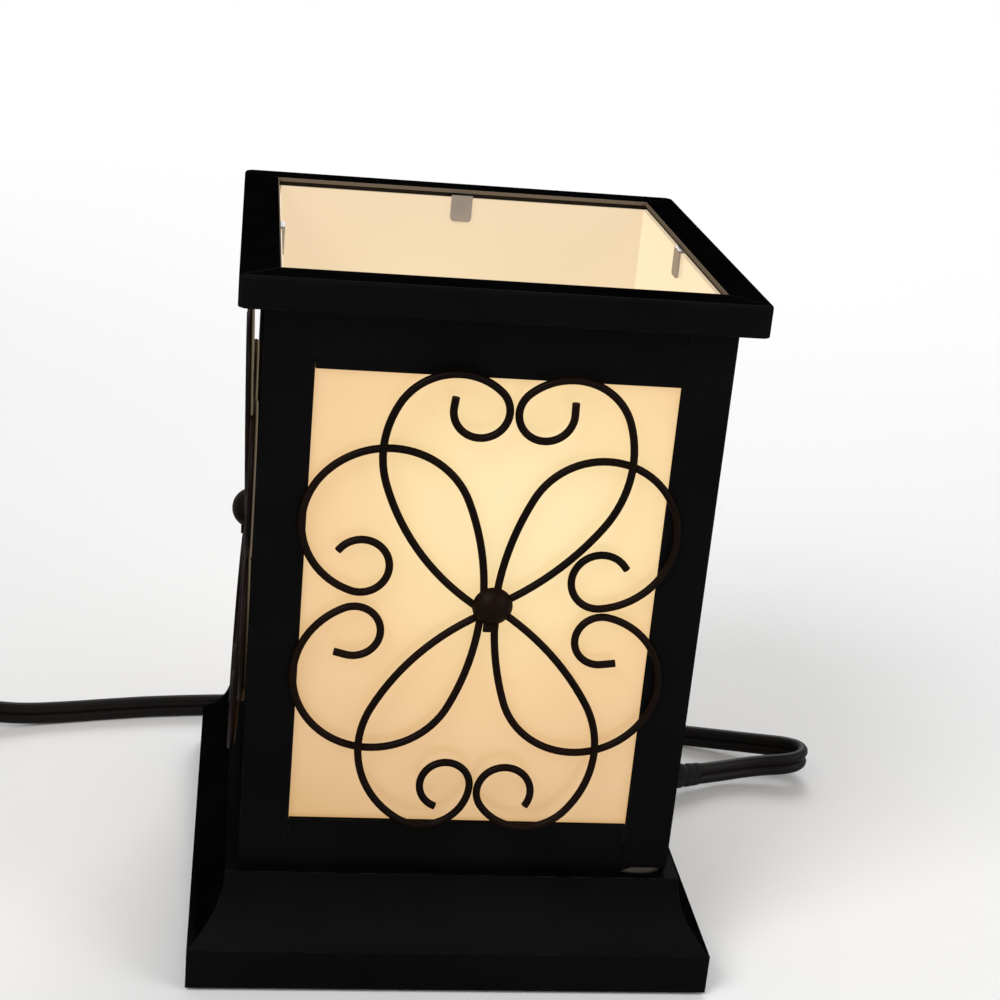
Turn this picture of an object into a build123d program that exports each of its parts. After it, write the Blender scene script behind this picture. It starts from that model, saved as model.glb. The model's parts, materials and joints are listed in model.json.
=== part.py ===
from build123d import *
import math
import os

# Square lantern table lamp. All sizes are in millimetres, +Z is up, the lamp stands on Z = 0 and the
# origin is the middle of its base. The front faces -Y.

# Base
plinth_side = 135.4
plinth_shoulder_height = 12.0
base_top_side = 117.8
base_height = 30.0
base_wall = 3.0
base_foot_gap = 1.0
base_inner_drop = 1.0
cover_sheet = 1.5
cover_gap = 0.2
foot_height = 1.6
foot_radius = 6.0
foot_edge_radius = 0.6
foot_margin = 10.5
boss_margin = 14.7
boss_radius = 3.6
cover_screw_radius = 1.5
cover_screw_length = 10.0
cover_screw_head_radius = 2.8
cover_screw_head_height = 1.1
cover_screw_head_edge = 0.4
screw_slot_width = 0.8
screw_slot_depth = 0.5
thread_clearance = 0.05
hole_clearance = 0.2
overcut = 1.0

# Cage of the lantern
cage_side = 111.8
cage_sheet = 1.2
stile_width = 12.3
bottom_rail_height = 13.8
window_height = 119.0
top_rail_height = 21.5
joint_gap = 0.05
channel_width = 2.9
channel_lip_height = 6.0
channel_corner_gap = 0.2
foot_lift_height = 1.3
foot_lift_ramp = 3.0
glass_thickness = 2.5
glass_gap = 0.2
glass_corner_gap = 0.2
glass_top_gap = 1.1
clip_width = 6.0
clip_sheet = 0.6
clip_drop = 7.5
clip_shift = 0.7
clip_corner_radius = 1.2

# Cap
cap_side = 124.0
cap_sheet = 1.2
cap_rim_width = 9.6
cap_skirt_height = 7.8
cap_corner_radius = 2.4
cap_edge_radius = 0.9
mitre_gap = 0.12

# Scroll grilles
wire_diameter = 1.9
wire_seat_gap = 0.05
weld_depth = 0.6
scroll_radius = 6.5
grille_shift_side = 1.1
grille_shift_up = 1.05
side_lap = 2.25
end_lap = 0.4
hub_radius = 3.0
hub_back_margin = 0.2
hub_front_margin = 0.15
wire_root = 6.5
dome_radius = 5.0
dome_height = 3.3
dome_wall = 0.7
dome_shift_side = 1.8
dome_shift_up = 1.0
left_dome_lift = 2.0
dome_tab_width = 3.8
dome_tab_drop = 1.7
dome_tab_lap = 1.2

# Lampholder and bulb
pan_side = 100.4
pan_height = 5.0
pan_sheet = 1.2
pan_corner_radius = 3.0
nipple_radius = 4.9
nipple_bore_radius = 3.2
nipple_below = 9.0
nipple_above = 7.0
nut_flats = 14.0
nut_height = 3.5
washer_radius = 9.0
washer_height = 1.0
socket_radius = 17.0
socket_sheet = 0.7
socket_cap_height = 14.0
socket_shell_lap = 5.0
socket_shell_height = 36.0
socket_neck_radius = 7.5
socket_neck_height = 3.0
socket_cap_shoulder = 1.5
socket_bead_radius = 0.6
socket_fit = 0.1
insulator_wall = 0.8
core_height = 9.0
core_ledge = 1.5
thread_shell_wall = 0.6
thread_shell_height = 23.0
contact_width = 5.0
contact_sheet = 0.5
contact_rise = 3.0
contact_start = 8.0
contact_stand = 3.0
contact_reach = 4.0
terminal_screw_radius = 2.0
terminal_screw_length = 5.0
bulb_cap_radius = 13.0
bulb_cap_height = 22.0
bulb_cap_clearance = 0.12
bulb_ridge_depth = 0.8
bulb_ridge_pitch = 3.6
bulb_cap_foot = 1.0
bulb_cap_collar = 3.0
bulb_cap_neck = 2.0
bulb_tip_height = 3.0
bulb_tip_radius = 4.8
bulb_tip_edge = 1.2
bulb_insulator_height = 3.2
bulb_insulator_inset = 2.0
bulb_insulator_rim = 1.0
bulb_globe_radius = 29.0
bulb_neck_radius = 12.6
bulb_neck_height = 6.0
bulb_flare_height = 14.0
bulb_flare_step = 1.0
bulb_flare_angle = 40.0
bulb_glass_height = 76.0
bulb_glass_wall = 0.8

# Cord
conductor_diameter = 3.5
cord_width = 7.1
cord_web = 1.0
bend_share = 0.45
table_clearance = 0.05
exit_side = 38.0
exit_height = 6.8
bushing_wall = 0.9
bushing_flange = 1.7
bushing_flange_thickness = 1.3
bushing_clearance = 0.2
wire_insulation_radius = 1.1
inner_wire_gap = 0.3
coil_centre = (-186.0, -18.0)
coil_outer_radius = 44.2
coil_pitch = 4.15
coil_layer_gap = 0.5
coil_halves_in = 5
coil_halves_out = 4
tie_sheet = 0.8
tie_width = 8.0
tie_gap = 0.4
tie_tail = 9.0
tie_tail_start = 2.0
tie_corner_radius = 1.6
switch_centre = (-172.2, 54.3)
switch_heading = 205.0
switch_length = 58.0
switch_width = 25.0
switch_height = 14.0
switch_wall = 2.0
switch_corner = 6.0
switch_edge = 1.5
switch_boss_wall = 1.6
wheel_radius = 9.0
wheel_thickness = 4.4
wheel_edge = 0.4
wheel_ridges = 24
wheel_ridge_radius = 0.45
wheel_offset = 6.0
wheel_gap = 0.3
axle_radius = 2.0
axle_shoulder = 1.5
axle_clearance = 0.06
switch_screw_radius = 1.4
switch_screw_head_radius = 2.7
switch_screw_head_height = 1.4
switch_screw_place = 19.0
switch_screw_recess = 0.2
plug_length = 30.0
plug_width = 24.0
plug_height = 13.0
plug_corner = 4.0
plug_front_edge = 0.8
plug_back_chamfer = 2.0
plug_nose_radius = 4.6
plug_relief_length = 12.0
plug_relief_step = 0.5
plug_grooves = 3
plug_groove_start = 2.5
plug_groove_pitch = 3.0
plug_groove_width = 1.2
plug_groove_depth = 0.3
plug_groove_growth = 0.35
blade_spacing = 12.7
blade_width = 6.3
blade_thickness = 1.5
blade_length = 17.5
blade_root = 8.0
blade_corner = 1.2
blade_hole_radius = 1.6
blade_hole_place = 4.5

# Places that follow from the sizes above
cage_half = cage_side / 2
cage_inner = cage_half - cage_sheet
window_half = cage_half - stile_width
window_bottom = base_height + bottom_rail_height
window_top = window_bottom + window_height
cage_top = window_top + top_rail_height
foot_offset = plinth_side / 2 - base_wall - cover_gap - foot_margin
boss_offset = plinth_side / 2 - base_wall - boss_margin
glass_outer = cage_inner - glass_gap
glass_inner = glass_outer - glass_thickness
pan_top = base_height + pan_height
lay_height = cord_width / 2 + table_clearance

SIDES = {"front": 0, "right": 90, "back": 180, "left": 270}
CORNERS = {"front_left": 0, "front_right": 90, "back_right": 180, "back_left": 270}

# Routes of the free cord, chosen by hand. The first lies from the base to the switch.
near_route = [
    (54.0, 38.0, 6.8), (76.0, 38.0, 6.8), (95.5, 47.2, 4.4), (109.5, 50.4, 5.4), (122.5, 49.2, 7.2),
    (126.9, 54.2, 7.8), (124.2, 60.4, 7.2), (112.3, 65.6, 5.6), (100.0, 70.6, 4.3), (82.0, 75.2, 3.6),
    (58.0, 79.4, 3.6), (31.0, 83.2, 3.6), (2.0, 86.3, 3.6), (-27.0, 87.9, 3.6), (-56.0, 87.0, 3.6),
    (-82.0, 84.0, 3.6), (-97.0, 81.0, 3.6), (-110.5, 77.9, 3.6), (-125.5, 74.2, 4.2), (-137.0, 70.7, 7.0),
    (-148.2, 65.5, 7.0),
]
# From the switch to the coil
middle_route = [
    (-196.1, 43.1, 7.0), (-211.9, 35.7, 6.9), (-223.9, 22.9, 5.2), (-230.2, 6.6, 4.75), (-230.2, -10.9, 4.75),
]
# From the coil to the plug
plug_route = [
    (-226.05, -25.1, 12.35), (-226.05, -41.0, 12.35), (-221.4, -56.6, 10.6), (-211.8, -70.4, 8.2),
    (-197.6, -79.0, 6.5), (-184.0, -79.0, 6.5),
]


def block(low, high):
    """A box between two opposite corners."""
    size = [b - a for a, b in zip(low, high)]
    return Pos(*low) * Box(*size, align=(Align.MIN, Align.MIN, Align.MIN))


def rod(radius, low, high, x=0.0, y=0.0):
    """An upright cylinder from one height to another."""
    return Pos(x, y, low) * Cylinder(radius, high - low, align=(Align.CENTER, Align.CENTER, Align.MIN))


def ring(outer, inner, low, high):
    return rod(outer, low, high) - rod(inner, low - 1, high + 1)


def turned(outline):
    """A solid of revolution about Z from (radius, height) points, closed with straight lines."""
    face = make_face(Polyline(*[(r, 0, z) for r, z in outline], close=True))
    return revolve(face, Axis.Z)


def about_z(shape, angle):
    return Rot(0, 0, angle) * shape


def moulding(top_half, top, shoulder_half, shoulder, foot):
    """A square block with a cove that is upright at the top and flares to the shoulder."""
    right = [
        Line((shoulder_half, foot), (shoulder_half, shoulder)),
        TangentArc((top_half, top), (shoulder_half, shoulder), tangent=(0, -1)),
    ]
    left = [
        Line((-shoulder_half, foot), (-shoulder_half, shoulder)),
        TangentArc((-top_half, top), (-shoulder_half, shoulder), tangent=(0, -1)),
    ]
    outline = right + left
    outline.append(Line((-top_half, top), (top_half, top)))
    outline.append(Line((-shoulder_half, foot), (shoulder_half, foot)))
    face = make_face(outline)
    along_y = extrude(Plane.XZ * face, shoulder_half + 1, both=True)
    along_x = extrude(Plane.YZ * face, shoulder_half + 1, both=True)
    return along_y & along_x


# Base


def boss_places():
    return [(boss_offset, 0), (0, boss_offset), (-boss_offset, 0), (0, -boss_offset)]


def slot_prism(thick, tall, length):
    """A bar along X whose section is a rounded slot standing on edge."""
    return extrude(Plane.YZ * SlotOverall(tall, thick, rotation=90), length)


def exit_slot(margin):
    """The section of the cord with a margin all round, as thickness and height."""
    return conductor_diameter + 2 * margin, cord_width + 2 * margin


def base_shell():
    cover_top = foot_height + cover_sheet
    outer = moulding(base_top_side / 2, base_height, plinth_side / 2, plinth_shoulder_height, base_foot_gap)
    inner = moulding(
        base_top_side / 2 - base_wall,
        base_height - base_wall,
        plinth_side / 2 - base_wall,
        plinth_shoulder_height - base_inner_drop,
        base_foot_gap - overcut,
    )
    shell = outer - inner
    for x, y in boss_places():
        shell += rod(boss_radius, cover_top, base_height - base_wall / 2, x, y)
        bore = cover_screw_radius + thread_clearance
        shell -= rod(bore, cover_top - overcut, cover_top + cover_screw_length, x, y)
    shell -= rod(nipple_radius + hole_clearance, base_height - base_wall - overcut, base_height + overcut)
    thick, tall = exit_slot(bushing_clearance + bushing_wall)
    hole = slot_prism(thick, tall, base_wall + 2 * overcut)
    return shell - Pos(plinth_side / 2 - base_wall - overcut, exit_side, exit_height) * hole


def base_cover():
    half = plinth_side / 2 - base_wall - cover_gap
    plate = block((-half, -half, foot_height), (half, half, foot_height + cover_sheet))
    for x, y in boss_places():
        plate -= rod(cover_screw_radius + hole_clearance, 0, base_height, x, y)
    return plate


def screw_slot(head_radius):
    return Box(screw_slot_width, 2 * head_radius + overcut, 2 * screw_slot_depth)


def cover_screws():
    screws = []
    for x, y in boss_places():
        head = rod(cover_screw_head_radius, foot_height - cover_screw_head_height, foot_height, x, y)
        head = fillet(head.edges().sort_by(Axis.Z)[0], cover_screw_head_edge)
        shank = rod(cover_screw_radius, foot_height, foot_height + cover_screw_length - overcut, x, y)
        slot = screw_slot(cover_screw_head_radius)
        screws.append(head + shank - Pos(x, y, foot_height - cover_screw_head_height) * slot)
    return screws


def rubber_feet():
    feet = []
    for x in (-foot_offset, foot_offset):
        for y in (-foot_offset, foot_offset):
            foot = rod(foot_radius, 0, foot_height, x, y)
            feet.append(fillet(foot.edges().sort_by(Axis.Z)[0], foot_edge_radius))
    return feet


def cord_bushing():
    bore = exit_slot(bushing_clearance)
    body = exit_slot(bushing_clearance + bushing_wall - joint_gap)
    flange = exit_slot(bushing_wall + bushing_flange / 2)
    face = plinth_side / 2
    piece = Pos(face - base_wall, exit_side, exit_height) * slot_prism(*body, base_wall)
    piece += Pos(face, exit_side, exit_height) * slot_prism(*flange, bushing_flange_thickness)
    hole = slot_prism(*bore, base_wall + bushing_flange_thickness + 2 * overcut)
    return piece - Pos(face - base_wall - overcut, exit_side, exit_height) * hole


# Cage of the lantern. Each function makes the piece of the front, and the others are turned copies.


def corner_post():
    """The angle at the front left corner."""
    outer = block((-cage_half, -cage_half, base_height), (-window_half, -window_half, cage_top))
    inner = block((-cage_inner, -cage_inner, base_height - overcut), (0, 0, cage_top + overcut))
    return outer - inner


def lifted_post():
    """The front right post, whose front leg stands slightly off the base."""
    post = about_z(corner_post(), CORNERS["front_right"])
    wedge = make_face(
        Polyline(
            (window_half, base_height - overcut),
            (window_half, base_height),
            (window_half + foot_lift_ramp, base_height + foot_lift_height),
            (cage_half + overcut, base_height + foot_lift_height),
            (cage_half + overcut, base_height - overcut),
            close=True,
        )
    )
    return post - Pos(0, -cage_inner + overcut, 0) * extrude(Plane.XZ * wedge, cage_sheet + 2 * overcut)


def top_rail():
    edge = window_half - joint_gap
    return block((-edge, -cage_half, window_top), (edge, -cage_inner, cage_top))


def bottom_rail():
    """A plate with a channel behind it that holds the foot of the pane."""
    edge = window_half - joint_gap
    floor_half = cage_inner - channel_width - cage_sheet - channel_corner_gap
    lip_front = -cage_inner + channel_width
    plate = block((-edge, -cage_half, base_height), (edge, -cage_inner, window_bottom))
    floor = block(
        (-floor_half, -cage_inner, base_height),
        (floor_half, lip_front + cage_sheet, base_height + cage_sheet),
    )
    lip = block(
        (-floor_half, lip_front, base_height),
        (floor_half, lip_front + cage_sheet, base_height + channel_lip_height),
    )
    return plate + floor + lip


def glass_pane():
    """A pane that covers the edge of the one on its left and butts against the one on its right."""
    left = -glass_outer + glass_corner_gap
    right = glass_inner - glass_corner_gap
    low = base_height + cage_sheet
    return block((left, -glass_outer, low), (right, -glass_inner, cage_top - glass_top_gap))


def pane_clip():
    """A strip from the rail, over the top of the pane and down its inner face."""
    top = cage_top - (glass_top_gap - clip_sheet) / 2
    back = -glass_inner + glass_gap + clip_sheet
    half = clip_width / 2
    over = block((-half, -cage_inner, top - clip_sheet), (half, back, top))
    low = top - clip_drop
    leg = block((-half, back - clip_sheet, low), (half, back, top))
    corners = leg.edges().filter_by(Axis.Y).group_by(Axis.Z)[0]
    return Pos(clip_shift, 0, 0) * (over + fillet(corners, clip_corner_radius))


# Cap


def cap_frame():
    """The whole square rim with its skirt, before it is cut at the mitres."""
    half = cap_side / 2
    low = cage_top + cap_sheet - cap_skirt_height
    top = cage_top + cap_sheet
    body = block((-half, -half, low), (half, half, top))
    body = fillet(body.edges().filter_by(Axis.Z), cap_corner_radius)
    body = fillet(body.faces().sort_by(Axis.Z)[-1].edges(), cap_edge_radius)
    room = half - cap_sheet
    hollow = block((-room, -room, low - overcut), (room, room, cage_top))
    hollow = fillet(hollow.edges().filter_by(Axis.Z), cap_corner_radius - cap_sheet)
    light = half - cap_rim_width
    return body - hollow - block((-light, -light, low - overcut), (light, light, top + overcut))


def cap_rail():
    """The front rail of the rim, cut at 45 degrees at both ends."""
    reach = cap_side
    start = -mitre_gap / math.sqrt(2)
    wedge = make_face(Polyline((0, start), (-reach, start - reach), (reach, start - reach), close=True))
    return cap_frame() & extrude(Pos(0, 0, base_height) * wedge, cap_side * 2)


# Scroll grilles. A wire is drawn in the upper right quarter from its bends, as a smith would, and then
# sized so that its outermost point laps the frame.


class Scroll:
    """Where a wire leaves the hub, its heading there and its bends as (radius, turn in degrees)."""

    def __init__(self, start, heading, bends, tail):
        self.start = start
        self.heading = heading
        self.bends = bends
        self.tail = tail

    def line(self, size):
        """The wire's path on the plane of the grille, at a given size."""
        heading = math.radians(self.heading)
        start = Vector(*self.start) * size
        root = start - Vector(math.cos(heading), math.sin(heading)) * wire_root
        edges = [Line(root, start)]
        for radius, turn in self.bends:
            edges.append(JernArc(edges[-1] @ 1, edges[-1] % 1, radius * size, turn))
        end = edges[-1] @ 1
        edges.append(Line(end, end + (edges[-1] % 1) * self.tail))
        return Wire(edges)

    def reach(self):
        corner = self.line(1.0).bounding_box().max
        return corner.X, corner.Y


# Each wire that ends in a scroll at the top or the foot of the window
end_scrolls = {
    "upper_left": Scroll((3.0, 1.0), 34, [(58.5, 37), (25, 47), (15, 104), (scroll_radius, 234)], 2.5),
    "upper_right": Scroll((6.5, 3.0), 32, [(68.5, 23), (29, 55), (15, 112), (scroll_radius, 230)], 3.0),
    "lower_left": Scroll((3.5, 3.5), 31, [(62, 32), (24, 85), (12, 119), (scroll_radius, 249)], 0.5),
    "lower_right": Scroll((6.5, 2.5), 35, [(69, 24), (24.5, 71), (13, 105), (scroll_radius, 244)], 0.5),
}
# Each wire that ends in a scroll at a side of the window
side_scrolls = {
    "upper_left": Scroll((0.5, 4.0), 87, [(62.5, -21), (20, -112), (17.5, -116), (scroll_radius, -251)], 0.5),
    "upper_right": Scroll((2.5, 4.0), 85, [(63, -21), (17, -52), (17.5, -185), (scroll_radius, -239)], 1.0),
    "lower_left": Scroll((1.0, 5.0), 85, [(65, -20), (20.5, -81), (19.5, -139), (scroll_radius, -219)], 3.0),
    "lower_right": Scroll((3.0, 6.0), 86, [(76.5, -15), (20, -142), (18.5, -97), (scroll_radius, -200)], 3.5),
}


def wire(line):
    start = Plane(origin=line @ 0, z_dir=line % 0)
    return sweep(start * Circle(wire_diameter / 2), path=line)


def quarter(shape, name):
    """Turns a shape of the upper right quarter over to another one."""
    if "left" in name:
        shape = mirror(shape, Plane.YZ)
    if "lower" in name:
        shape = mirror(shape, Plane.XZ)
    return shape


def grille_middle():
    """The height of the hub's middle and its place to the right of the window's middle."""
    return window_bottom + window_height / 2 + grille_shift_up, grille_shift_side


def side_size(scroll):
    return (window_half + side_lap) / scroll.reach()[0]


def end_size(scroll):
    return (window_height / 2 + end_lap) / scroll.reach()[1]


def wire_level():
    """The height of a wire's middle over the frame where it lies on the frame."""
    return wire_diameter / 2 + wire_seat_gap


def hub_front():
    return wire_level() + wire_diameter / 2 + hub_front_margin


def end_lean(name):
    """How steeply an end wire rises from the hub to lie welded on the side wire that it crosses."""
    side_scroll = side_scrolls[name]
    crossing = side_scroll.reach()[1] * side_size(side_scroll)
    lean = math.degrees(math.atan((wire_diameter - weld_depth) / crossing))
    return -lean if "lower" in name else lean


def grille_flat():
    """The welded grille, lying on XY with its outer face up and the frame's face at Z = 0."""
    grille = rod(hub_radius, -hub_back_margin, hub_front())
    level = Pos(0, 0, wire_level())
    for name, scroll in side_scrolls.items():
        grille += level * quarter(wire(scroll.line(side_size(scroll))), name)
    for name, scroll in end_scrolls.items():
        grille += level * Rot(end_lean(name), 0, 0) * quarter(wire(scroll.line(end_size(scroll))), name)
    return grille


def on_front(shape, side=0.0, up=0.0, out=0.0):
    """Stands a flat-drawn piece up against the front of the cage, at the grille's middle."""
    height, shift = grille_middle()
    return Pos(shift + side, -cage_half - out, height + up) * Rot(90, 0, 0) * shape


def grille_dome():
    """The pressed dome over the hub, with the small tab that shows below it."""
    ball = (dome_radius**2 + dome_height**2) / (2 * dome_height)
    dome = Pos(0, 0, dome_height - ball) * Sphere(ball)
    inner = Pos(0, 0, dome_height - ball) * Sphere(ball - dome_wall)
    reach = ball + overcut
    cut = block((-reach, -reach, -2 * ball), (reach, reach, 0))
    shell = dome - cut - (inner - cut)
    low = dome_radius + dome_tab_drop
    half = dome_tab_width / 2
    tab = block((-half, -low, 0), (half, -dome_radius + dome_tab_lap, dome_wall))
    return shell + tab


# Lampholder


def locating_pan():
    half = pan_side / 2
    outer = block((-half, -half, base_height), (half, half, pan_top))
    outer = fillet(outer.edges().filter_by(Axis.Z), pan_corner_radius)
    room = half - pan_sheet
    inner = block((-room, -room, base_height - overcut), (room, room, pan_top - pan_sheet))
    return outer - inner - rod(nipple_radius + hole_clearance, base_height, pan_top + overcut)


def threaded_nipple():
    low = base_height - nipple_below
    return ring(nipple_radius, nipple_bore_radius, low, pan_top + nipple_above)


def nipple_nut():
    top = base_height - base_wall - washer_height
    hexagon = RegularPolygon(nut_flats / 2, 6, major_radius=False)
    nut = extrude(Pos(0, 0, top - nut_height) * hexagon, nut_height)
    return nut - rod(nipple_radius + thread_clearance, 0, base_height)


def nipple_washer():
    top = base_height - base_wall
    return ring(washer_radius, nipple_radius + hole_clearance, top - washer_height, top)


def socket_levels():
    """Heights of the socket: cap mouth, shell foot, core top, shell top."""
    mouth = pan_top + socket_cap_height
    foot = mouth - socket_shell_lap
    core = foot + core_height
    return mouth, foot, core, foot + socket_shell_height


def socket_cap():
    mouth, foot = socket_levels()[:2]
    shoulder = foot - socket_cap_shoulder
    neck = pan_top + socket_neck_height
    outer = [
        (nipple_radius + thread_clearance, pan_top),
        (socket_neck_radius, pan_top),
        (socket_neck_radius, neck),
        (socket_radius, shoulder),
        (socket_radius, mouth),
    ]
    inner = [
        (socket_radius - socket_sheet, mouth),
        (socket_radius - socket_sheet, shoulder),
        (socket_neck_radius, neck + socket_sheet),
        (nipple_radius + thread_clearance, neck + socket_sheet),
    ]
    return turned(outer + inner)


def socket_shell():
    foot, top = socket_levels()[1], socket_levels()[3]
    outer = socket_radius - socket_sheet - socket_fit
    tube = ring(outer, outer - socket_sheet, foot, top)
    bead = Pos(0, 0, top - socket_sheet) * Torus(outer - socket_sheet / 2, socket_bead_radius)
    return tube + bead


def socket_insulator():
    foot, top = socket_levels()[1], socket_levels()[3]
    outer = socket_radius - 2 * socket_sheet - 2 * socket_fit
    return ring(outer, outer - insulator_wall, foot + core_ledge, top - 2 * socket_sheet)


def core_radius():
    return socket_radius - 2 * socket_sheet - 3 * socket_fit - insulator_wall


def socket_core():
    """The moulded body that carries the contacts, with a seat for the threaded shell."""
    foot, core = socket_levels()[1], socket_levels()[2]
    body = rod(core_radius(), foot, core)
    body -= rod(nipple_bore_radius, foot - overcut, foot + core_ledge)
    for side in (-1, 1):
        x = side * (core_radius() - terminal_screw_length)
        start = min(x, side * (core_radius() + overcut))
        hole = Pos(start, 0, foot + core_height / 2) * Rot(0, 90, 0) * Cylinder(
            terminal_screw_radius + thread_clearance,
            terminal_screw_length + overcut,
            align=(Align.CENTER, Align.CENTER, Align.MIN),
        )
        body -= hole
    return body


def terminal_screws():
    foot = socket_levels()[1]
    screws = []
    for side in (-1, 1):
        tip = core_radius() - terminal_screw_length + hole_clearance
        shank = Rot(0, 90, 0) * Cylinder(
            terminal_screw_radius,
            terminal_screw_length - 2 * hole_clearance,
            align=(Align.CENTER, Align.CENTER, Align.MIN),
        )
        screw = Pos(tip, 0, foot + core_height / 2) * shank
        screws.append(about_z(screw, 0 if side > 0 else 180))
    return screws


def thread_shell_radius():
    return bulb_cap_radius + bulb_cap_clearance


def threaded_shell():
    core = socket_levels()[2]
    bore = thread_shell_radius()
    return ring(bore + thread_shell_wall, bore, core, core + thread_shell_height)


def centre_contact():
    """A strip on the floor of the threaded shell that rises under the tip of the bulb."""
    core = socket_levels()[2]
    half = contact_width / 2
    back = -contact_stand - contact_sheet
    top = core + contact_rise
    foot = block((-contact_start, -half, core), (-contact_stand, half, core + contact_sheet))
    rise = block((back, -half, core), (-contact_stand, half, top))
    pad = block((back, -half, top - contact_sheet), (contact_reach, half, top))
    return foot + rise + pad


def inner_wires():
    """The two insulated conductors from the end of the cord up through the nipple to the core."""
    start_x = near_route[0][0]
    apart = wire_insulation_radius + inner_wire_gap / 2
    above = (cord_width - conductor_diameter) / 2
    wires = []
    for side in (-1, 1):
        y = side * apart
        z = exit_height + side * above
        points = [
            (start_x, exit_side, z),
            (start_x - 8.0, exit_side, z),
            (start_x - 20.0, exit_side - 4.0 + y, z),
            (18.0, 16.0 + y, exit_height + 3.0 + side * 1.5),
            (0.2 * y, 5.0, exit_height + 5.0 + side * 1.4),
            (0.0, y, exit_height + 12.0),
            (0.0, y, socket_levels()[1] + core_ledge),
        ]
        path = FilletPolyline(*points, radius=bend_radii(points))
        start = Plane(origin=path @ 0, z_dir=path % 0)
        wires.append(sweep(start * Circle(wire_insulation_radius), path=path))
    return wires


# Bulb


def bulb_base():
    return socket_levels()[2] + contact_rise + joint_gap


def bulb_tip():
    low = bulb_base()
    tip = rod(bulb_tip_radius, low, low + bulb_tip_height / 2)
    return fillet(tip.edges().sort_by(Axis.Z)[0], bulb_tip_edge)


def bulb_insulator():
    low = bulb_base() + bulb_tip_height / 2
    high = low + bulb_insulator_height
    radius = bulb_cap_radius - bulb_ridge_depth - bulb_insulator_inset
    outline = [
        (0, low),
        (bulb_tip_radius + bulb_insulator_rim, low),
        (radius, high - bulb_insulator_rim),
        (radius, high),
        (0, high),
    ]
    return turned(outline)


def bulb_screw_cap():
    """The threaded cap, its thread drawn as rings."""
    low = bulb_base() + bulb_tip_height / 2 + bulb_insulator_height
    high = bulb_base() + bulb_cap_height + bulb_tip_height
    valley = bulb_cap_radius - bulb_ridge_depth
    z = low + bulb_cap_foot
    outline = [(0, low), (valley - bulb_cap_foot, low), (valley, z)]
    while z + bulb_ridge_pitch < high - bulb_cap_collar:
        outline.append((bulb_cap_radius, z + bulb_ridge_pitch / 2))
        outline.append((valley, z + bulb_ridge_pitch))
        z += bulb_ridge_pitch
    outline += [(valley, high - bulb_cap_neck), (bulb_neck_radius + hole_clearance, high), (0, high)]
    return turned(outline)


def bulb_glass():
    """The pear-shaped envelope: a neck, a flare and a globe, each tangent to the next."""
    foot = bulb_base() + bulb_cap_height + bulb_tip_height
    top = foot + bulb_glass_height
    centre = top - bulb_globe_radius

    def envelope(inset):
        globe = bulb_globe_radius - inset
        neck = bulb_neck_radius - inset
        angle = math.radians(bulb_flare_angle)
        low = (globe * math.cos(angle), centre - globe * math.sin(angle))
        with BuildLine() as line:
            Line((0, foot), (neck, foot))
            Line((neck, foot), (neck, foot + bulb_neck_height))
            flare_foot = (neck + bulb_flare_step, foot + bulb_flare_height)
            flare = TangentArc(low, flare_foot, tangent=(-math.sin(angle), -math.cos(angle)))
            Line((neck, foot + bulb_neck_height), flare @ 1)
            ThreePointArc(low, (globe, centre), (0, centre + globe))
            Line((0, centre + globe), (0, foot))
        return revolve(make_face(Plane.XZ * line.line), Axis.Z)

    return envelope(0) - envelope(bulb_glass_wall)


# Cord


def bend_radii(points):
    """For each corner of a route, the largest arc that its two runs leave room for."""
    radii = []
    for before, here, after in zip(points, points[1:], points[2:]):
        run_in = Vector(*here) - Vector(*before)
        run_out = Vector(*after) - Vector(*here)
        half_turn = math.radians(run_in.get_angle(run_out)) / 2
        radii.append(bend_share * min(run_in.length, run_out.length) / math.tan(half_turn))
    return radii


def cord_section(path):
    """Two round conductors side by side with a thin web, standing on edge."""
    radius = conductor_diameter / 2
    lobe = (cord_width - conductor_diameter) / 2
    nearness = math.sqrt(radius**2 - (cord_web / 2) ** 2)
    with BuildLine() as outline:
        for side in (1, -1):
            near = side * (lobe - nearness)
            ThreePointArc((cord_web / 2, near), (0, side * (lobe + radius)), (-cord_web / 2, near))
            Line((side * cord_web / 2, lobe - nearness), (side * cord_web / 2, nearness - lobe))
    plane = Plane(origin=path @ 0, x_dir=(path % 0).cross(Vector(0, 0, 1)), z_dir=path % 0)
    return plane * make_face(outline.line)


def swept_cord(name, path):
    section = cord_section(path)
    tube = sweep(section, path=path)
    share = tube.volume / (section.area * path.length)
    print(f"{name}: {path.length:.1f} mm long, volume over section times length {share:.4f}")
    return tube


def laid_cord(name, points):
    radii = bend_radii(points)
    print(f"{name}: bend radii {[round(radius, 1) for radius in radii]}")
    return swept_cord(name, FilletPolyline(*points, radius=radii))


def biarc(start, start_way, end, end_way):
    """Two arcs, tangent to each other, from one point and direction to another."""
    across = end - start
    ways = start_way + end_way
    spread = 2 * (1 - start_way.dot(end_way))
    along = across.dot(ways)
    reach = (-along + math.sqrt(along**2 + spread * across.dot(across))) / spread
    first = start + start_way * reach
    second = end - end_way * reach
    middle = (first + second) * 0.5
    return [TangentArc(start, middle, tangent=start_way), TangentArc(middle, end, tangent=second - first)]


def coil_height(layer):
    return tie_sheet + tie_gap + cord_width / 2 + layer * (cord_width + coil_layer_gap)


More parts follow.
